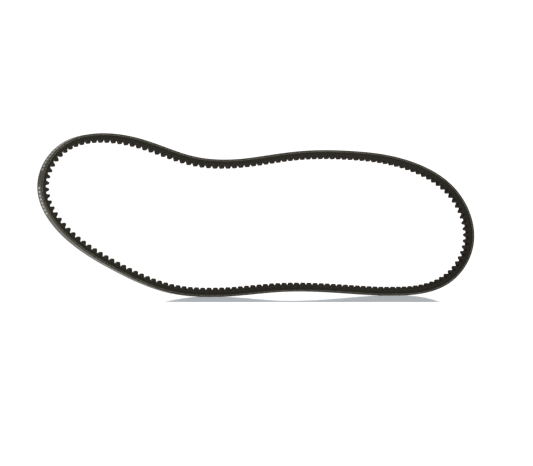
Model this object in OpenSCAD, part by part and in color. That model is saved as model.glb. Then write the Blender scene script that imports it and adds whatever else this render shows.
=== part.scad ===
// Raw-edge cogged V-belt, 10 x 8 mm section, standing on its back.
//
// The loop lies in the XZ plane: +X along its length, +Z up, the floor at z = 0.
// The belt's width runs along Y, with the mid-plane at y = 0.
// A depth is measured from the back of the belt inwards, towards the cog tips.
// Station k is the middle of the valley before cog k, counted from the left end
// of the loop down, along the floor and back over the top.

/* [Belt] */
// Length round the back of the belt
belt_length = 975; // [950:5:1000]
// Width across the back
top_width = 10; // [9:0.1:11]
// Height from the back to the cog tips
belt_height = 8; // [7.5:0.1:9]
// Slope of each flank away from upright, in degrees
flank_angle = 18; // [15:0.5:20]

/* [Cogs] */
// Height of a cog above the valley floor
cog_depth = 3.3; // [2.5:0.1:3.5]
// Width of a cog's flat tip
tip_width = 1.7; // [1:0.1:2]
// Width of a cog at the valley floor
root_width = 4.2; // [3.6:0.1:4.4]
// Rounding where a cog's side meets its tip
tip_round = 0.8; // [0.4:0.1:1]
// Rounding where a cog's side meets the valley floor
foot_round = 0.4; // [0.2:0.1:0.5]

/* [Layers] */
// Thickness of the outer fabric ply
outer_ply_t = 0.45; // [0.3:0.05:0.6]
// Thickness of the rubber between the two plies
skim_t = 0.35; // [0.2:0.05:0.5]
// Thickness of the inner fabric ply
inner_ply_t = 0.45; // [0.3:0.05:0.6]
// Thickness of the rubber cushion that holds the cord
cushion_t = 1.4; // [1.3:0.05:1.6]

/* [Cord] */
// Diameter of the tensile cord
cord_d = 0.95; // [0.7:0.05:1]
// Turns of the cord, side by side
cord_turns = 6; // [5:1:6]
// Distance between neighbouring turns
cord_pitch = 1.15; // [1.05:0.05:1.2]

/* [Marks] */
// Length of a printed tick along the belt
tick_length = 1.8; // [1:0.1:2.4]
// Width of a printed tick across the belt
tick_width = 3.6; // [2:0.1:5]
// Thickness of the ink
ink_t = 0.06; // [0.05:0.01:0.1]

/* [Flexing] */
// Width of the slot between two spans
slot_width = 0.8; // [0.7:0.05:0.85]
// Depth that the belt's weight presses flat where it stands
press_depth = 0.15; // [0.1:0.05:0.3]

/* [Hidden] */
// Control points [x, z] of the loop's back, a closed uniform cubic B-spline
ROUTE = [
    [-220, 93], [-191, 49], [-137, 20], [-89, 0], [-31, 0], [17, 6], [78, 3],
    [126, -0.9], [188, 3], [222, 50], [196, 104], [138, 126], [89, 130],
    [32, 130], [-21, 119], [-73, 118], [-123, 140], [-190, 141]
];
// The spans that flex against each other: [name, first station, number of cogs]
SPANS = [
    ["foot", 28, 39], ["lower_left", 7, 21], ["left_end", 149, 16], ["crown", 137, 12], ["hollow", 124, 13],
    ["lower_right", 67, 8], ["right_end", 75, 15], ["shoulder", 90, 17], ["top", 107, 17]
];
// Chords between stations that carry two printed ticks each
MARKED_CHORDS = [151, 152, 153, 154, 155, 0, 1, 2, 3];
cog_count = total([for (span = SPANS) span[2]]);

// Depths of the layers' faces
skim_depth = outer_ply_t;
inner_ply_depth = skim_depth + skim_t;
cushion_depth = inner_ply_depth + inner_ply_t;
cord_depth = cushion_depth + cushion_t / 2;
cog_rubber_depth = cushion_depth + cushion_t;

LAYERS = ["outer_ply", "skim_rubber", "inner_ply", "cord_cushion", "tensile_cord", "cog_rubber"];

// Corners of a tensile cord's cross-section
cord_sides = 6;
// Steps round each corner at the foot of a cog and at its tip
foot_steps = 1;
tip_steps = 2;
// Samples in each stretch of the B-spline
route_samples = 24;

// The loop's back as a smooth curve
function control(i) = ROUTE[(i + len(ROUTE)) % len(ROUTE)];
function spline(u) =
    let (i = floor(u), w = u - i)
    (pow(1 - w, 3) * control(i - 1)
        + (3 * pow(w, 3) - 6 * pow(w, 2) + 4) * control(i)
        + (-3 * pow(w, 3) + 3 * pow(w, 2) + 3 * w + 1) * control(i + 1)
        + pow(w, 3) * control(i + 2)) / 6;

// Sums of a list's first 0, 1, 2 ... items
function running_sum(list) =
    [for (i = 0, sum = 0; i <= len(list); sum = sum + (i < len(list) ? list[i] : 0), i = i + 1) sum];
// Lengths of the chords of a closed list of points
function chord_lengths(points) =
    [for (i = [0 : len(points) - 1]) norm(points[(i + 1) % len(points)] - points[i])];
function total(list) = list * [for (item = list) 1];

// The curve at its real length, centred on x = 0 and pressed flat where it stands
sample_count = len(ROUTE) * route_samples;
raw_curve = [for (i = [0 : sample_count - 1]) spline(i / route_samples)];
curve_scale = belt_length / total(chord_lengths(raw_curve));
raw_x = [for (point = raw_curve) point.x];
raw_z = [for (point = raw_curve) point.y];
raw_middle = (min(raw_x) + max(raw_x)) / 2;
function settled(point) = [
    (point.x - raw_middle) * curve_scale,
    max((point.y - min(raw_z)) * curve_scale - press_depth, 0)
];
curve = [for (point = raw_curve) settled(point)];

// Stations at equal distances along the cord, which keeps its length when the belt bends
function inward(a, b) = [a.y - b.y, b.x - a.x] / norm(b - a);
cord_curve = [
    for (i = [0 : sample_count - 1])
        curve[i] + cord_depth
            * inward(curve[(i + sample_count - 1) % sample_count], curve[(i + 1) % sample_count])
];
cord_sums = running_sum(chord_lengths(cord_curve));
cord_length = cord_sums[sample_count];
cog_pitch = cord_length / cog_count;
sample_at = [for (i = [0 : sample_count]) [cord_sums[i], i / route_samples]];
stations = [for (k = [0 : cog_count - 1]) settled(spline(lookup(k * cog_pitch, sample_at)))];

// Frame of chord k, which runs from station k to station k + 1
function station(k) = stations[(k + cog_count) % cog_count];
function chord_way(k) = (station(k + 1) - station(k)) / norm(station(k + 1) - station(k));
function chord_inward(k) = inward(station(k), station(k + 1));
// Point on chord k, at a distance from the chord's middle and at a depth
function on_chord(k, distance, depth) =
    (station(k) + station(k + 1)) / 2 + distance * chord_way(k) + depth * chord_inward(k);
// Step from a station's back to a depth of 1, along the mitre between its two chords
function mitre(k) =
    let (before = chord_inward(k - 1), after = chord_inward(k))
    (before + after) / (1 + before * after);
// Point at station k and a depth, moved along the belt by half a slot at a span's two ends
function at_station(k, depth, first, last) =
    station(k) + depth * mitre(k)
        + (k == first ? slot_width / 2 * chord_way(k) : [0, 0])
        - (k == last ? slot_width / 2 * chord_way(k - 1) : [0, 0]);

// Half of the belt's width at a depth
function half_width(depth) = top_width / 2 - depth * tan(flank_angle);
function in_space(point, y) = [point.x, y, point.y];

// A solid from rings of points with the same number of points in each
module loft(rings) {
    n = len(rings[0]);
    last = (len(rings) - 1) * n;
    polyhedron(
        points = [for (ring = rings) each ring],
        faces = concat(
            [[for (i = [0 : n - 1]) i]],
            [[for (i = [n - 1 : -1 : 0]) last + i]],
            [
                for (r = [0 : len(rings) - 2]) for (i = [0 : n - 1])
                    [r * n + (i + 1) % n, r * n + i, (r + 1) * n + i, (r + 1) * n + (i + 1) % n]
            ]
        )
    );
}

// A layer of even thickness along one span
module plain_layer(span, near_depth, far_depth) {
    first = span[1];
    last = first + span[2];
    loft([
        for (k = [first : last])
            let (
                near = at_station(k, near_depth, first, last),
                far = at_station(k, far_depth, first, last)
            )
            [
                in_space(near, -half_width(near_depth)),
                in_space(near, half_width(near_depth)),
                in_space(far, half_width(far_depth)),
                in_space(far, -half_width(far_depth))
            ]
    ]);
}

module outer_ply(span) {
    color([0.49, 0.48, 0.43])
        plain_layer(span, 0, skim_depth);
}

module skim_rubber(span) {
    color([0.2, 0.2, 0.18])
        plain_layer(span, skim_depth, inner_ply_depth);
}

module inner_ply(span) {
    color([0.36, 0.35, 0.31])
        plain_layer(span, inner_ply_depth, cushion_depth);
}

module cord_cushion(span) {
    color([0.24, 0.23, 0.21])
        plain_layer(span, cushion_depth, cog_rubber_depth);
}

// The turns of one helically wound cord, which moves over by one pitch each time round
module tensile_cord(span) {
    first = span[1];
    last = first + span[2];
    color([0.78, 0.72, 0.58])
        for (turn = [0 : cord_turns - 1])
            loft([
                for (k = [first : last])
                    let (middle_y = cord_pitch * (turn + k / cog_count - cord_turns / 2))
                    [
                        for (side = [0 : cord_sides - 1])
                            let (
                                angle = 360 * side / cord_sides,
                                depth = cord_depth - cord_d / 2 * sin(angle)
                            )
                            in_space(at_station(k, depth, first, last), middle_y + cord_d / 2 * cos(angle))
                    ]
            ]);
}

// Side of a cog from the valley floor to the tip, as [distance before the cog's middle, depth]
valley_depth = belt_height - cog_depth;
side_angle = atan2(cog_depth, (root_width - tip_width) / 2);
cog_side = concat(
    [
        for (step = [0 : foot_steps])
            let (angle = side_angle * step / foot_steps)
            [
                root_width / 2 + foot_round * (tan(side_angle / 2) - sin(angle)),
                valley_depth + foot_round * (1 - cos(angle))
            ]
    ],
    [
        for (step = [tip_steps : -1 : 0])
            let (angle = side_angle * step / tip_steps)
            [
                tip_width / 2 - tip_round * (tan(side_angle / 2) - sin(angle)),
                belt_height - tip_round * (1 - cos(angle))
            ]
    ]
);
side_points = len(cog_side);
cog_points = 2 * side_points + 1;

// Rubber under the cord with its moulded cogs: the flanks are flat between two stations
module cog_rubber(span) {
    first = span[1];
    last = first + span[2];
    tops = [for (k = [first : last]) [at_station(k, cog_rubber_depth, first, last), cog_rubber_depth]];
    bottoms = [
        for (k = [first : last]) each concat(
            [[at_station(k, valley_depth, first, last), valley_depth]],
            k == last ? [] : concat(
                [for (i = [0 : side_points - 1]) [on_chord(k, -cog_side[i].x, cog_side[i].y), cog_side[i].y]],
                [
                    for (i = [side_points - 1 : -1 : 0])
                        [on_chord(k, cog_side[i].x, cog_side[i].y), cog_side[i].y]
                ]
            )
        )
    ];
    top_count = len(tops);
    bottom_count = len(bottoms);
    all_points = concat(tops, bottoms);
    back = len(all_points);
    cogs = top_count - 1;
    function bottom(i) = top_count + i;
    color([0.17, 0.17, 0.14])
        polyhedron(
            points = concat(
                [for (p = all_points) in_space(p[0], -half_width(p[1]))],
                [for (p = all_points) in_space(p[0], half_width(p[1]))]
            ),
            faces = concat(
                [
                    for (c = [0 : cogs - 1])
                        concat([c + 1, c], [for (i = [0 : cog_points]) bottom(c * cog_points + i)])
                ],
                [
                    for (c = [0 : cogs - 1])
                        concat([back + c, back + c + 1], [
                            for (i = [cog_points : -1 : 0]) back + bottom(c * cog_points + i)
                        ])
                ],
                [for (c = [0 : cogs - 1]) [c, c + 1, back + c + 1, back + c]],
                [
                    for (i = [0 : bottom_count - 2])
                        [bottom(i + 1), bottom(i), back + bottom(i), back + bottom(i + 1)]
                ],
                [
                    [0, back, back + bottom(0), bottom(0)],
                    [
                        top_count - 1, bottom(bottom_count - 1),
                        back + bottom(bottom_count - 1), back + top_count - 1
                    ]
                ]
            )
        );
}

// Two rows of plain ticks printed on the back, with nothing to read
module printed_marks() {
    color([0.85, 0.85, 0.82])
        for (k = MARKED_CHORDS) for (side = [-1, 1])
            translate(in_space(on_chord(k, side * cog_pitch / 4, 0), 0))
                rotate([0, -atan2(chord_way(k).y, chord_way(k).x), 0])
                    translate([-tick_length / 2, -tick_width / 2, -ink_t])
                        cube([tick_length, tick_width, ink_t]);
}

module layer(name, span) {
    if (name == "outer_ply") outer_ply(span);
    if (name == "skim_rubber") skim_rubber(span);
    if (name == "inner_ply") inner_ply(span);
    if (name == "cord_cushion") cord_cushion(span);
    if (name == "tensile_cord") tensile_cord(span);
    if (name == "cog_rubber") cog_rubber(span);
}

for (span = SPANS) for (name = LAYERS)
    layer(name, span);
printed_marks();
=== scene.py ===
"""Looks of a raw-edge cogged V-belt that stands on its back.

The belt is built layer by layer round the same loop as the CAD model. Each layer is cut in
the middle of every span, so that one piece crosses each hinge. A point of the belt is told
by three numbers: its station, counted in cogs round the loop, its distance across the belt
along Y, and its depth, from the back of the belt inwards.
"""

import math

import bpy
import numpy as np
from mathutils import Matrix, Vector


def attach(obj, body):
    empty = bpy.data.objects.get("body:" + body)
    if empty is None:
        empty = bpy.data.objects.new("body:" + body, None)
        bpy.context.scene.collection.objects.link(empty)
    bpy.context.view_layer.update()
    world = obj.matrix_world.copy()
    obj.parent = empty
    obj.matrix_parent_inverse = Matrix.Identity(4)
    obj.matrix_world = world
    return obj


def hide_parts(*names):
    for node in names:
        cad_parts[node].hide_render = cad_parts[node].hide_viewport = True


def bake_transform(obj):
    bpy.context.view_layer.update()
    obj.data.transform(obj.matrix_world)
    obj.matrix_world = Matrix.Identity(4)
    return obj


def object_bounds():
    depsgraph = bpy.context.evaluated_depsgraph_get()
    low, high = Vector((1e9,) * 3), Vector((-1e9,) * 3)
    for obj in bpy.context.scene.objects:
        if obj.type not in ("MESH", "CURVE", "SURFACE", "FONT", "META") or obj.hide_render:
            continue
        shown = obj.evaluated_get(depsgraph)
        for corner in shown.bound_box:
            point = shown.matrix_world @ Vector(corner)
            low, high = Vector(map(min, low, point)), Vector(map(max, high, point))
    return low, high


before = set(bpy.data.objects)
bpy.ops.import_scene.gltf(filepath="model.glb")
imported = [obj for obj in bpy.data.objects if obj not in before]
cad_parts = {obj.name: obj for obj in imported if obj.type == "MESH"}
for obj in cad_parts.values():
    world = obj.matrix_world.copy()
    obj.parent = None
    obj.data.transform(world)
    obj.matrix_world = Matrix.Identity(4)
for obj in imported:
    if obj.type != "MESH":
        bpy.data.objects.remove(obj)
cad_low, cad_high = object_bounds()

MM = 0.001

# ------------------------------------------------------------------ dimensions, as in the CAD

# Control points (x, z) of the loop's back, a closed uniform cubic B-spline
ROUTE = MM * np.array([
    (-220, 93), (-191, 49), (-137, 20), (-89, 0), (-31, 0), (17, 6), (78, 3),
    (126, -0.9), (188, 3), (222, 50), (196, 104), (138, 126), (89, 130),
    (32, 130), (-21, 119), (-73, 118), (-123, 140), (-190, 141),
], float)
BELT_LENGTH = 975 * MM
HALF_TOP_WIDTH = 5 * MM
FLANK_SLOPE = math.tan(math.radians(18))
PRESS_DEPTH = 0.15 * MM

# Each span's first station, in order round the loop from its open pivot
SPAN_STARTS = {
    "hollow": 124, "crown": 137, "left_end": 149, "lower_left": 165, "foot": 186,
    "lower_right": 225, "right_end": 233, "shoulder": 248, "top": 265,
}
LAST_STATION = 282
COGS = LAST_STATION - SPAN_STARTS["hollow"]

# Depths where the layers meet
SKIM_DEPTH = 0.45 * MM
INNER_PLY_DEPTH = 0.80 * MM
CUSHION_DEPTH = 1.25 * MM
CORD_DEPTH = 1.95 * MM
COG_RUBBER_DEPTH = 2.65 * MM
VALLEY_DEPTH = 4.7 * MM
TIP_DEPTH = 8 * MM

# A cog's profile
TIP_WIDTH = 1.7 * MM
ROOT_WIDTH = 4.2 * MM
TIP_ROUND = 0.8 * MM
FOOT_ROUND = 0.4 * MM

# The tensile cord
CORD_RADIUS = 0.475 * MM
CORD_TURNS = 6
CORD_PITCH = 1.15 * MM
CORD_LAY = 6 * MM

# The printed ticks, two on each of these cogs
UPPER_MARKED_COGS = range(151, 156)
LOWER_MARKED_COGS = range(158, 162)
TICK_LENGTH = 1.8 * MM
TICK_WIDTH = 3.6 * MM
INK_THICKNESS = 0.06 * MM

# The ground flanks are uneven to this distance inside them, in slow waves of these lengths
FLANK_BAND = 0.5 * MM
RIPPLE_LENGTHS = MM * np.array([2.3, 3.7, 6.1, 11, 19])

# Faces that meet at more than this angle keep a sharp edge
SHARP_ANGLE = math.radians(40)

# The gap at the open pivot, where the two loose ends turn a little against each other
LOOSE_GAP = 0.1 * MM


# ------------------------------------------------------------------ the loop

LOOP_SAMPLES = 7200


def spline(u):
    """Points of the B-spline at the parameters u, of which there is one unit per control point."""
    i = np.floor(u).astype(int)
    w = (u - i)[:, None]
    weights = ((1 - w) ** 3, 3 * w**3 - 6 * w**2 + 4, -3 * w**3 + 3 * w**2 + 3 * w + 1, w**3)
    return sum(weight * ROUTE[(i + j - 1) % len(ROUTE)] for j, weight in enumerate(weights)) / 6


def closed_lengths(points):
    return np.linalg.norm(np.roll(points, -1, axis=0) - points, axis=1)


def closed_inward(points):
    """The direction towards the inside of the loop at each of its points."""
    way = np.roll(points, -1, axis=0) - np.roll(points, 1, axis=0)
    way /= np.linalg.norm(way, axis=1)[:, None]
    return np.stack([-way[:, 1], way[:, 0]], axis=1)


def settle(points):
    """The loop at its real length, centred on x = 0, with its contact patches pressed flat."""
    scale = BELT_LENGTH / closed_lengths(points).sum()
    low, high = points.min(axis=0), points.max(axis=0)
    x = (points[:, 0] - (low[0] + high[0]) / 2) * scale
    z = (points[:, 1] - low[1]) * scale - PRESS_DEPTH
    softness = 0.03 * MM
    return np.stack([x, (z + np.sqrt(z**2 + softness**2)) / 2], axis=1)


def close(values):
    return np.concatenate([values, values[:1]])


back = settle(spline(np.arange(LOOP_SAMPLES) * len(ROUTE) / LOOP_SAMPLES))
inward = closed_inward(back)
cord_steps = closed_lengths(back + CORD_DEPTH * inward)
COG_PITCH = cord_steps.sum() / COGS
station_of_sample = np.concatenate([[0], np.cumsum(cord_steps)]) / COG_PITCH
loop_columns = np.concatenate([close(back), close(inward)], axis=1)


def frame_at(station):
    """The back's point and the inward direction, as (x, z), at any stations."""
    station = np.asarray(station, float) % COGS
    columns = [np.interp(station, station_of_sample, column) for column in loop_columns.T]
    point, direction = np.stack(columns[:2], axis=-1), np.stack(columns[2:], axis=-1)
    return point, direction / np.linalg.norm(direction, axis=-1, keepdims=True)


def bent(station, depth):
    """Points (x, z) of the belt as it bends evenly."""
    point, direction = frame_at(station)
    return point + depth[..., None] * direction


def half_width(depth):
    return HALF_TOP_WIDTH - depth * FLANK_SLOPE


def smooth_step(t):
    t = np.clip(t, 0, 1)
    return t * t * (3 - 2 * t)


def ripple(along, across, seed):
    """Slow, smooth unevenness between -1 and 1, made of sines with seeded phases."""
    chance = np.random.default_rng(seed)
    total = 0
    for length in RIPPLE_LENGTHS:
        turn = 2 * math.pi / length
        phase = chance.uniform(0, 2 * math.pi)
        total = total + np.sin(turn * (along + 0.6 * across) + phase)
    return total / len(RIPPLE_LENGTHS)


def at_flank(across, depth):
    return np.abs(across) > half_width(depth) - FLANK_BAND


# ------------------------------------------------------------------ closed solids along the belt


def section(half):
    """A closed ring (across, depth) from its right half, which runs from the middle of the
    face nearer the back, round the flank, to the middle of the face nearer the cogs."""
    half = np.array(half, float)
    left = half[-2:0:-1] * (-1, 1)
    return np.concatenate([half, left])


def corner(depth, radius, inner, recess=0, steps=4):
    """Points round the corner between a face at a depth and the flank."""
    points = []
    for t in np.linspace(0, math.pi / 2, steps + 1):
        run, drop = radius * (1 - math.sin(t)), radius * (1 - math.cos(t))
        at = depth + (drop if inner else -drop)
        points.append((half_width(at) - recess - run, at))
    return points if inner else points[::-1]


def solid_from_rings(name, tubes, material):
    """One object from tubes, each a pair of arrays (rings, points, 3): the points' places in
    space, and their (along, across, depth), which the materials read."""
    places, marks, faces, start = [], [], [], 0
    for rings, ring_marks in tubes:
        count, n = rings.shape[:2]
        corners = start + np.arange(count * n).reshape(count, n)
        turned = np.roll(corners, -1, axis=1)
        sides = np.stack([corners[:-1], turned[:-1], turned[1:], corners[1:]], axis=-1)
        ends = [corners[0, ::-1].tolist(), corners[-1].tolist()]
        faces += sides.reshape(-1, 4).tolist() + ends
        places.append(rings.reshape(-1, 3))
        marks.append(ring_marks.reshape(-1, 3))
        start += count * n
    mesh = bpy.data.meshes.new(name)
    mesh.from_pydata(np.concatenate(places).tolist(), [], faces)
    belt = mesh.attributes.new("belt", "FLOAT_VECTOR", "POINT")
    belt.data.foreach_set("vector", np.concatenate(marks).astype(np.float32).ravel())
    mesh.shade_smooth()
    mesh.set_sharp_from_angle(angle=SHARP_ANGLE)
    mesh.materials.append(material)
    made = bpy.data.objects.new(name, mesh)
    bpy.context.scene.collection.objects.link(made)
    return made


def in_space(xz, across):
    return np.stack([xz[..., 0], np.broadcast_to(across, xz.shape[:-1]), xz[..., 1]], axis=-1)


def belt_marks(station, across, depth):
    along = np.broadcast_to(np.asarray(station) * COG_PITCH, depth.shape)
    return np.stack([along, np.broadcast_to(across, depth.shape), depth], axis=-1)


def even_layer(first, last, ring, rings_per_cog, unevenness=0, seed=0):
    """The tube of a layer whose section stays the same all the way, apart from uneven flanks."""
    station = np.linspace(first, last, int((last - first) * rings_per_cog) + 1)[:, None]
    across = np.broadcast_to(ring[:, 0], (len(station), len(ring)))
    depth = np.broadcast_to(ring[:, 1], across.shape)
    side = np.sign(across)
    wander = unevenness * ripple(station * COG_PITCH, 3 * depth * side, seed) * at_flank(across, depth)
    places = in_space(bent(station, depth), across - side * (wander + unevenness))
    return places, belt_marks(station, across, depth)


# ------------------------------------------------------------------ the layers' shapes


def outer_ply(first, last):
    """The fabric back: its edges are rounded, and the cord's turns show as faint ridges."""
    ridge_depth, radius = 0.03 * MM, 0.36 * MM
    face = []
    for y in np.linspace(0, HALF_TOP_WIDTH - radius, 13)[:-1]:
        face.append((y, ridge_depth / 2 * (1 + math.cos(2 * math.pi * y / CORD_PITCH))))
    near = corner(0, radius, True)
    far = corner(SKIM_DEPTH, 0.07 * MM, False, steps=2)
    ring = section(face + near + far + [(0, SKIM_DEPTH)])
    return [even_layer(first, last, ring, 10, 0.02 * MM, seed=1)]


def skim_rubber(first, last):
    """The rubber between the plies, a fine groove at the flanks."""
    groove = 0.12 * MM
    near = corner(SKIM_DEPTH, 0.03 * MM, True, recess=groove, steps=1)
    far = corner(INNER_PLY_DEPTH, 0.03 * MM, False, recess=groove, steps=1)
    ring = section([(0, SKIM_DEPTH)] + near + far + [(0, INNER_PLY_DEPTH)])
    return [even_layer(first, last, ring, 8, 0.01 * MM, seed=2)]


def inner_ply(first, last):
    """The second fabric ply, whose cut edge stands proud as a low round rib."""
    radius = 0.18 * MM
    near = corner(INNER_PLY_DEPTH, radius, True)
    far = corner(CUSHION_DEPTH, radius, False)
    ring = section([(0, INNER_PLY_DEPTH)] + near + far + [(0, CUSHION_DEPTH)])
    return [even_layer(first, last, ring, 10, 0.02 * MM, seed=3)]


def cord_cushion(first, last):
    """The rubber round the cord, a little hollow at the flanks."""
    near = corner(CUSHION_DEPTH, 0.05 * MM, True, recess=0.1 * MM, steps=2)
    middle = [(half_width(CORD_DEPTH) - 0.05 * MM, CORD_DEPTH)]
    far = corner(COG_RUBBER_DEPTH, 0.03 * MM, False, recess=0.03 * MM, steps=1)
    ring = section([(0, CUSHION_DEPTH)] + near + middle + far + [(0, COG_RUBBER_DEPTH)])
    return [even_layer(first, last, ring, 8, 0.015 * MM, seed=4)]


def tensile_cord(first, last):
    """Six turns of a cord of three twisted strands, which moves over by a pitch each round."""
    strand_radius = CORD_RADIUS / (1 + 2 / math.sqrt(3))
    strand_reach = CORD_RADIUS - strand_radius
    tubes = []
    station = np.linspace(first, last, (last - first) * 8 + 1)[:, None]
    side = np.radians([-40, 0, 40])
    rise = np.sqrt(strand_radius**2 - (strand_reach * np.sin(side)) ** 2)
    reach = np.tile(strand_reach * np.cos(side) + rise, 3)
    angle = np.concatenate([side + strand * 2 * math.pi / 3 for strand in range(3)])
    for turn in range(CORD_TURNS):
        middle = CORD_PITCH * (turn + (station - COGS) / COGS - CORD_TURNS / 2)
        twist = angle + 2 * math.pi * station * COG_PITCH / CORD_LAY
        across = middle + reach * np.cos(twist)
        depth = CORD_DEPTH + reach * np.sin(twist)
        tubes.append((in_space(bent(station, depth), across), belt_marks(station, across, depth)))
    return tubes


def cog_profile():
    """Half of a cog as (distance from its middle, depth), from the valley to the tip."""
    side_angle = math.atan2(TIP_DEPTH - VALLEY_DEPTH, (ROOT_WIDTH - TIP_WIDTH) / 2)
    lead = math.tan(side_angle / 2)
    points = [(COG_PITCH / 2, VALLEY_DEPTH), (0.47 * COG_PITCH, VALLEY_DEPTH)]
    for angle in np.linspace(0, side_angle, 5):
        points.append((ROOT_WIDTH / 2 + FOOT_ROUND * (lead - math.sin(angle)),
                       VALLEY_DEPTH + FOOT_ROUND * (1 - math.cos(angle))))
    for angle in np.linspace(side_angle, 0, 7):
        points.append((TIP_WIDTH / 2 - TIP_ROUND * (lead - math.sin(angle)),
                       TIP_DEPTH - TIP_ROUND * (1 - math.cos(angle))))
    flank_start, flank_end = np.array(points[6]), np.array(points[7])
    return np.array(points[:7] + [(flank_start + flank_end) / 2] + points[7:] + [(0, TIP_DEPTH)])


def cog_rows(first, last):
    """For each ring across the belt: the middle of its cog or valley as a station, the ring's
    distance from there, and the depth of the moulded face."""
    rise = cog_profile()
    fall = rise[-2:0:-1] * (-1, 1)
    profile = np.concatenate([rise * (-1, 1), fall * (-1, 1)])
    cogs = np.arange(first, last)
    offset = np.concatenate([np.tile(profile[:, 0], len(cogs)), [-COG_PITCH / 2]])
    foot = np.concatenate([np.tile(profile[:, 1], len(cogs)), [VALLEY_DEPTH]])
    middle = np.concatenate([np.repeat(cogs, len(profile)), [last]]) + 0.5
    chance = np.random.default_rng(5)
    growth = np.tile(chance.normal(0, 0.02 * MM, COGS), 3)[np.repeat(cogs, len(profile)) - COGS // 2]
    foot[:-1] += growth * (foot[:-1] - VALLEY_DEPTH) / (TIP_DEPTH - VALLEY_DEPTH)
    return middle, offset, foot


def cog_sections(foot):
    """Each ring's (across, depth): flat on the cord's side, down the flank, over a small
    bevel and along the moulded face, on both halves of the belt."""
    edge = 0.12 * MM
    foot = foot[:, None]
    flank_shares = np.array([0, 0, 0.15, 0.3, 0.5, 0.7, 0.85, 1])
    face_shares = np.array([1, 0.8, 0.6, 0.4, 0.2, 0])
    flank_depth = COG_RUBBER_DEPTH + (foot - edge - COG_RUBBER_DEPTH) * flank_shares
    flank_across = half_width(flank_depth)
    flank_across[:, 0] = 0
    face_across = (half_width(foot) - edge) * face_shares
    bevel_across, bevel_depth = half_width(foot) - 0.3 * edge, foot - 0.3 * edge
    half_across = np.concatenate([flank_across, bevel_across, face_across], axis=1)
    half_depth = np.concatenate([flank_depth, bevel_depth, foot + 0 * face_shares], axis=1)
    across = np.concatenate([half_across, -half_across[:, -2:0:-1]], axis=1)
    depth = np.concatenate([half_depth, half_depth[:, -2:0:-1]], axis=1)
    return across, depth


def cog_rubber(first, last):
    """The rubber under the cord with its cogs, which keep their shape where the belt bends."""
    middle, offset, foot = cog_rows(first, last)
    station = (middle + offset / COG_PITCH)[:, None]
    across, depth = cog_sections(foot)
    side = np.sign(across)
    wander = 0.025 * MM * (1 + ripple(station * COG_PITCH, 2 * depth * side, 6))
    across = across - side * wander * at_flank(across, depth)

    even = bent(station, depth)
    point, direction = frame_at(middle[:, None])
    way = np.stack([direction[..., 1], -direction[..., 0]], axis=-1)
    stiff = point + depth[..., None] * direction + offset[:, None, None] * way
    half_root = ROOT_WIDTH / 2
    near_cog = 1 - smooth_step((np.abs(offset) - half_root) / (COG_PITCH / 2 - half_root))
    low = smooth_step((depth - COG_RUBBER_DEPTH) / (VALLEY_DEPTH - COG_RUBBER_DEPTH))
    hold = (near_cog[:, None] * low)[..., None]
    return [(in_space(even + hold * (stiff - even), across), belt_marks(station, across, depth))]


def tick(station, seed):
    """One printed tick, a thin patch with an uneven outline, sunk into the fabric."""
    chance = np.random.default_rng(seed)
    count, sunk_depth = 9, 0.12 * MM
    rings = np.linspace(-1, 1, count)
    reach = TICK_LENGTH / 2 / COG_PITCH
    half = TICK_WIDTH / 2 * np.sqrt(1 - 0.35 * np.abs(rings) ** 6)
    right = half * (1 + chance.normal(0, 0.04, count))
    left = -half * (1 + chance.normal(0, 0.04, count))
    outer = left[:, None] + (right - left)[:, None] * np.linspace(0, 1, count)
    across = np.concatenate([outer, outer[:, ::-1]], axis=1)
    face, underside = np.full_like(outer, -INK_THICKNESS), np.full_like(outer, sunk_depth)
    depth = np.concatenate([face, underside], axis=1)
    depth[:, [0, count - 1]] = 0
    depth[[0, -1], :count] = 0.02 * MM
    places = np.broadcast_to(station + rings[:, None] * reach, depth.shape)
    return in_space(bent(places, depth), across), belt_marks(places, across, depth)


def ticks(cogs):
    return [tick(cog + 0.5 + side / 4, 10 * cog + side) for cog in cogs for side in (-1, 1)]


# ------------------------------------------------------------------ materials


def srgb(*levels):
    """A colour socket's value from levels between 0 and 255."""
    shares = [level / 255 for level in levels]
    return [s / 12.92 if s <= 0.04045 else ((s + 0.055) / 1.055) ** 2.4 for s in shares] + [1]


def add_node(tree, kind, sockets=(), output=0, **settings):
    """A new node's output socket. A socket given a socket is linked, any other is set."""
    node = tree.nodes.new(kind)
    for name, value in settings.items():
        setattr(node, name, value)
    for socket, value in dict(sockets).items():
        if isinstance(value, bpy.types.NodeSocket):
            tree.links.new(value, node.inputs[socket])
        else:
            node.inputs[socket].default_value = value
    return node.outputs[output]


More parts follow.
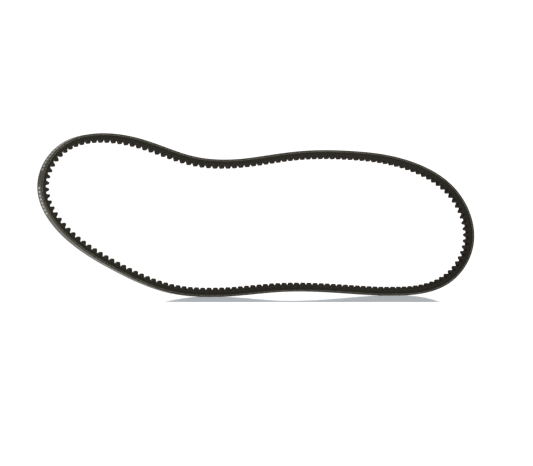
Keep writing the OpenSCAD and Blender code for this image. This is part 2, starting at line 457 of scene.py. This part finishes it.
class Nodes:
    """A new material and short ways to add and link its nodes."""

    def __init__(self, name, roughness, specular):
        self.material = bpy.data.materials.new(name)
        self.material.use_nodes = True
        self.tree = self.material.node_tree
        self.shader = self.tree.nodes["Principled BSDF"]
        self.shader.inputs["Roughness"].default_value = roughness
        self.shader.inputs["Specular IOR Level"].default_value = specular

    def add(self, kind, sockets=(), output=0, **settings):
        return add_node(self.tree, kind, sockets, output, **settings)

    def math(self, operation, *values):
        return self.add("ShaderNodeMath", enumerate(values), operation=operation)

    def place(self, along=1, across=1, depth=1):
        """The point's (along, across, depth), each divided by a length in millimetres."""
        belt = self.add("ShaderNodeAttribute", output="Vector", attribute_name="belt")
        scale = (1 / (along * MM), 1 / (across * MM), 1 / (depth * MM))
        return self.add("ShaderNodeMapping", {"Vector": belt, "Scale": scale})

    def noise(self, vector, detail=3, roughness=0.55):
        return self.add("ShaderNodeTexNoise", {
            "Vector": vector, "Scale": 1.0, "Detail": detail, "Roughness": roughness})

    def ramp(self, value, low, high, start=0.0, end=1.0):
        return self.add("ShaderNodeMapRange", {
            "Value": value, "From Min": low, "From Max": high, "To Min": start, "To Max": end})

    def mix(self, factor, first, second):
        return self.add("ShaderNodeMix", {0: factor, 6: first, 7: second}, output=2, data_type="RGBA")

    def depth(self):
        """The depth in millimetres."""
        return self.add("ShaderNodeSeparateXYZ", {0: self.place()}, output=2)

    def bump(self, height, distance, strength=1.0, normal=None):
        sockets = {"Height": height, "Distance": distance * MM, "Strength": strength}
        if normal:
            sockets["Normal"] = normal
        return self.add("ShaderNodeBump", sockets)

    def finish(self, colour, roughness, normal):
        self.tree.links.new(colour, self.shader.inputs["Base Color"])
        self.tree.links.new(roughness, self.shader.inputs["Roughness"])
        self.tree.links.new(normal, self.shader.inputs["Normal"])
        return self.material


# Between the fabric's yarns, in millimetres
YARN_PITCH = 0.55


def weave(nodes, pitch):
    """The height of a plain weave whose yarns run at 45 degrees to the belt, from 0 to 1."""
    place = nodes.add("ShaderNodeSeparateXYZ", {0: nodes.place(pitch, pitch, pitch)}, output=0).node
    along, across = place.outputs[0], place.outputs[1]
    quarter = math.pi / math.sqrt(2)
    one = nodes.math("SINE", nodes.math("MULTIPLY", nodes.math("ADD", along, across), quarter))
    other = nodes.math("SINE", nodes.math("MULTIPLY", nodes.math("SUBTRACT", along, across), quarter))
    over = nodes.math("MULTIPLY_ADD", nodes.math("MULTIPLY", one, other), 0.5, 0.5)
    warp = nodes.math("MULTIPLY", nodes.math("ABSOLUTE", other), over)
    weft = nodes.math("MULTIPLY", nodes.math("ABSOLUTE", one), nodes.math("SUBTRACT", 1.0, over))
    return nodes.math("MAXIMUM", warp, weft)


def back_fabric():
    """Rubber-filled woven cloth, paler where its yarns stand proud."""
    nodes = Nodes("back_fabric", 0.8, 0.4)
    nodes.shader.inputs["Specular Tint"].default_value = (1, 0.96, 0.8, 1)
    height = weave(nodes, YARN_PITCH)
    dust = nodes.noise(nodes.place(9, 3, 3), 4)
    fluff = nodes.noise(nodes.place(0.5, 0.5, 0.5), 2)
    cloth = nodes.mix(nodes.ramp(height, 0.1, 0.9), srgb(36, 34, 27), srgb(58, 55, 43))
    dusty = nodes.mix(nodes.ramp(dust, 0.35, 0.75, 0.0, 0.5), cloth, srgb(80, 75, 58))
    colour = nodes.mix(nodes.ramp(fluff, 0.6, 0.8, 0.0, 0.35), dusty, srgb(34, 33, 29))
    roughness = nodes.ramp(dust, 0.3, 0.7, 0.3, 0.42)
    normal = nodes.bump(height, 0.08, normal=nodes.bump(fluff, 0.03))
    return nodes.finish(colour, roughness, normal)


def skim():
    """Dark rubber, pressed smooth."""
    nodes = Nodes("skim_rubber", 0.75, 0.25)
    blotch = nodes.noise(nodes.place(1.2, 1.2, 0.3), 3)
    colour = nodes.mix(nodes.ramp(blotch, 0.3, 0.7), srgb(32, 31, 27), srgb(46, 45, 39))
    return nodes.finish(colour, nodes.ramp(blotch, 0.3, 0.7, 0.65, 0.85), nodes.bump(blotch, 0.03))


def ply_edge():
    """The cut edge of a fabric ply, a row of yarn ends in rubber."""
    nodes = Nodes("ply_edge", 0.8, 0.25)
    ends = nodes.add("ShaderNodeTexVoronoi", {
        "Vector": nodes.place(0.62, 0.62, 0.5), "Scale": 1.0, "Randomness": 0.45}, output="Distance")
    tone = nodes.noise(nodes.place(4, 4, 4), 2)
    yarn = nodes.mix(nodes.ramp(tone, 0.35, 0.7), srgb(150, 146, 130), srgb(190, 186, 166))
    colour = nodes.mix(nodes.ramp(ends, 0.25, 0.5), yarn, srgb(48, 47, 41))
    height = nodes.ramp(ends, 0.1, 0.6, 1.0, 0.0)
    return nodes.finish(colour, nodes.ramp(ends, 0.2, 0.6, 0.85, 0.7), nodes.bump(height, 0.06))


def cut_rubber(name, dark, light, far, far_from, far_to, far_share):
    """Ground rubber loaded with chopped fibres, which lie across the belt: they show as specks
    on the flanks and as short streaks on the moulded faces. Its colour turns from between dark
    and light to far, by far_share, from the depth far_from to far_to in millimetres."""
    nodes = Nodes(name, 0.7, 0.15)
    grain = nodes.noise(nodes.place(5, 2, 0.25), 4)
    cloud = nodes.noise(nodes.place(6, 6, 3), 2)
    fibres = nodes.noise(nodes.place(0.22, 2.2, 0.22), 1)
    rubber = nodes.mix(nodes.ramp(grain, 0.3, 0.7), dark, light)
    rubber = nodes.mix(nodes.ramp(nodes.depth(), far_from, far_to, 0.0, far_share), rubber, far)
    shaded = nodes.mix(nodes.ramp(cloud, 0.35, 0.7, 0.0, 0.3), rubber, srgb(20, 19, 16))
    colour = nodes.mix(nodes.ramp(fibres, 0.66, 0.76, 0.0, 0.6), shaded, srgb(84, 78, 67))
    height = nodes.math("MULTIPLY_ADD", nodes.ramp(fibres, 0.6, 0.8), 0.5, grain)
    return nodes.finish(colour, nodes.ramp(grain, 0.3, 0.7, 0.6, 0.82), nodes.bump(height, 0.05))


def cord_yarn():
    """Pale twisted polyester."""
    nodes = Nodes("cord_yarn", 0.6, 0.4)
    strands = nodes.noise(nodes.place(0.5, 0.08, 0.08), 2)
    colour = nodes.mix(nodes.ramp(strands, 0.3, 0.7), srgb(196, 184, 152), srgb(228, 219, 194))
    return nodes.finish(colour, nodes.ramp(strands, 0.3, 0.7, 0.5, 0.7), nodes.bump(strands, 0.02))


def ink(name, light, share_worn):
    """Pale ink, rubbed off where the yarns stand proud."""
    nodes = Nodes(name, 0.7, 0.3)
    wear = nodes.noise(nodes.place(0.9, 0.9, 0.9), 3)
    height = weave(nodes, YARN_PITCH)
    worn = nodes.math("MULTIPLY_ADD", height, 0.25, wear)
    bare = nodes.ramp(worn, 0.8 - share_worn, 1.1 - share_worn, 0.0, 0.9)
    colour = nodes.mix(bare, light, srgb(70, 68, 60))
    return nodes.finish(colour, nodes.ramp(wear, 0.3, 0.7, 0.6, 0.8), nodes.bump(height, 0.05))


# ------------------------------------------------------------------ pieces

LAYERS = {
    "outer_ply": (outer_ply, back_fabric()),
    "skim_rubber": (skim_rubber, skim()),
    "inner_ply": (inner_ply, ply_edge()),
    "cord_cushion": (cord_cushion, cut_rubber(
        "cord_cushion", dark=srgb(76, 73, 62), light=srgb(104, 100, 86),
        far=srgb(30, 28, 22), far_from=1.55, far_to=1.95, far_share=1.0)),
    "tensile_cord": (tensile_cord, cord_yarn()),
    "cog_rubber": (cog_rubber, cut_rubber(
        "cog_rubber", dark=srgb(31, 29, 22), light=srgb(45, 43, 34),
        far=srgb(56, 36, 27), far_from=5.5, far_to=8, far_share=0.75)),
}

span_names = list(SPAN_STARTS)
span_ends = list(SPAN_STARTS.values())[1:] + [LAST_STATION]
span_middles = [(SPAN_STARTS[name] + end) // 2 for name, end in zip(span_names, span_ends)]


def bend_over_hinge(piece):
    """Bakes the piece's placement into its mesh. The piece keeps the shape it was made with round the
    loop and is attached to no body.
    """
    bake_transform(piece)


def draw_back(tubes, end, neighbour):
    """Moves the end faces of tubes back by half the gap at the open pivot."""
    for rings, _ in tubes:
        way = rings[neighbour] - rings[end]
        rings[end] += LOOSE_GAP / 2 * way / np.linalg.norm(way, axis=1, keepdims=True)


def add_layer(layer, shape, material):
    """A layer's pieces: one for each loose end, and one that crosses each hinge."""
    loose_ends = (
        ("hollow", SPAN_STARTS["hollow"], span_middles[0], 0, 1),
        ("top", span_middles[-1], LAST_STATION, -1, -2),
    )
    for span, first, last, end, neighbour in loose_ends:
        tubes = shape(first, last)
        draw_back(tubes, end, neighbour)
        piece = solid_from_rings(f"{layer}_{span}_end", tubes, material)
        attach(piece, span)
        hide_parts(f"{span}_{layer}")
    for i in range(len(span_names) - 1):
        before, after = span_names[i], span_names[i + 1]
        tubes = shape(span_middles[i], span_middles[i + 1])
        piece = solid_from_rings(f"{layer}_{before}_to_{after}", tubes, material)
        bend_over_hinge(piece)
        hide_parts(f"{before}_{layer}", f"{after}_{layer}")


for layer, (shape, material) in LAYERS.items():
    add_layer(layer, shape, material)

upper_ink = ink("faint_ink", srgb(172, 171, 162), 0.24)
lower_ink = ink("ink", srgb(198, 197, 188), 0.2)
upper_marks = solid_from_rings("printed_marks_upper", ticks(UPPER_MARKED_COGS), upper_ink)
bend_over_hinge(upper_marks)
lower_marks = solid_from_rings("printed_marks_lower", ticks(LOWER_MARKED_COGS), lower_ink)
bend_over_hinge(lower_marks)
for marks in (upper_marks, lower_marks):
    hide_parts("printed_marks")


# ------------------------------------------------------------------ floor, light and camera

# The camera stands to the left of the belt and looks this far to the right of the Y axis
CAMERA_TURN = math.radians(26.7)
CAMERA_AHEAD = (math.sin(CAMERA_TURN), math.cos(CAMERA_TURN), 0)
DOME_LOW, DOME_HIGH = 0.18, 1.0

# The floor's polish: its share, the distance from the origin where it fades, and its front end
POLISH_SHARE = 0.66
POLISH_FADE = (0.34, 0.48)
POLISH_FRONT = (-0.31, -0.285)


def floor():
    """A white floor, polished round the belt. The polish ends level with the camera's view in
    front of the belt, where it cuts off the belt's mirror image, and fades away elsewhere."""
    bpy.ops.mesh.primitive_plane_add(size=60)
    made = bpy.context.object
    made.name = "floor"
    nodes = Nodes("floor", 0.02, 0.5)
    nodes.shader.inputs["Base Color"].default_value = (0.95, 0.92, 0.84, 1)
    place = nodes.add("ShaderNodeNewGeometry", output="Position")
    ahead = nodes.add("ShaderNodeVectorMath", {0: place, 1: CAMERA_AHEAD},
                      output="Value", operation="DOT_PRODUCT")
    away = nodes.add("ShaderNodeVectorMath", {0: place}, output="Value", operation="LENGTH")
    faded = nodes.ramp(away, *POLISH_FADE, POLISH_SHARE, 0.0)
    polish = nodes.math("MULTIPLY", nodes.ramp(ahead, *POLISH_FRONT), faded)
    # Where polished, the matt colour turns blue-grey: a painted tint of the belt's reflection, not the
    # floor's own colour
    ground = nodes.mix(polish, (0.92, 0.92, 0.92, 1), (0.6, 0.68, 0.78, 1))
    matt = nodes.add("ShaderNodeBsdfDiffuse", {"Color": ground})
    mixed = nodes.add("ShaderNodeMixShader", {0: polish, 1: matt, 2: nodes.shader.outputs[0]})
    nodes.tree.links.new(mixed, nodes.tree.nodes["Material Output"].inputs["Surface"])
    made.data.materials.append(nodes.material)


def overhead_light(strength, spread):
    """Soft light from above, from a disc of sky as wide as the spread in degrees."""
    data = bpy.data.lights.new("overhead_light", "SUN")
    data.energy = strength
    data.angle = math.radians(spread)
    made = bpy.data.objects.new("overhead_light", data)
    bpy.context.scene.collection.objects.link(made)
    made.rotation_euler = (math.radians(-12), math.radians(-8), 0)


def studio():
    """A dome of light, bright overhead and dim at the level of the belt, with one white screen
    behind the belt and one on its right. The camera sees plain white."""
    made = bpy.data.worlds.new("studio")
    made.use_nodes = True
    tree = made.node_tree

    def add(kind, sockets=(), output=0, **settings):
        return add_node(tree, kind, sockets, output, **settings)

    way = add("ShaderNodeTexCoord", output="Generated")
    height = add("ShaderNodeSeparateXYZ", {0: way}, output=2)
    dome = add("ShaderNodeMapRange", {"Value": height, "From Min": 0.05, "From Max": 1.0,
                                      "To Min": DOME_LOW, "To Max": DOME_HIGH})

    def screen(middle, edge, full, strength):
        """A soft-edged round patch of light in the direction of its middle. Its edge and where
        it is full are cosines of the angle from there."""
        towards = add("ShaderNodeVectorMath", {0: way, 1: middle},
                      output="Value", operation="DOT_PRODUCT")
        return add("ShaderNodeMapRange", {
            "Value": towards, "From Min": edge, "From Max": full, "To Min": 0.0,
            "To Max": strength}, interpolation_type="SMOOTHSTEP")

    behind = screen((0.6, 0.75, 0.28), 0.78, 0.95, 1.2)
    right = screen((0.98, -0.17, 0.1), 0.55, 0.95, 1.15)
    lit = add("ShaderNodeMath", {0: dome, 1: behind}, operation="MAXIMUM")
    lit = add("ShaderNodeMath", {0: lit, 1: right}, operation="MAXIMUM")
    seen = add("ShaderNodeLightPath", output="Is Camera Ray")
    brightness = add("ShaderNodeMath", {0: lit, 1: seen}, operation="MAXIMUM")
    back = tree.nodes["Background"]
    back.inputs["Color"].default_value = (1, 1, 1, 1)
    tree.links.new(brightness, back.inputs["Strength"])
    bpy.context.scene.world = made


def camera():
    """A long lens, low and to the left of the belt, tilted up a little. It aims at the near side
    of the belt, just left of its middle."""
    tilt = math.radians(0.784)
    distance, height = 1.9717, 0.0284
    aim = (-0.0018, cad_low[1])
    data = bpy.data.cameras.new("camera")
    data.sensor_width = 36
    data.lens = 152.6
    data.clip_end = 100
    made = bpy.data.objects.new("camera", data)
    bpy.context.scene.collection.objects.link(made)
    made.location = (
        aim[0] - distance * CAMERA_AHEAD[0], aim[1] - distance * CAMERA_AHEAD[1], height)
    made.rotation_euler = (math.pi / 2 + tilt, 0, -CAMERA_TURN)
    bpy.context.scene.camera = made


floor()
overhead_light(strength=1.8, spread=50)
studio()
camera()
bpy.context.scene.view_settings.view_transform = "Standard"
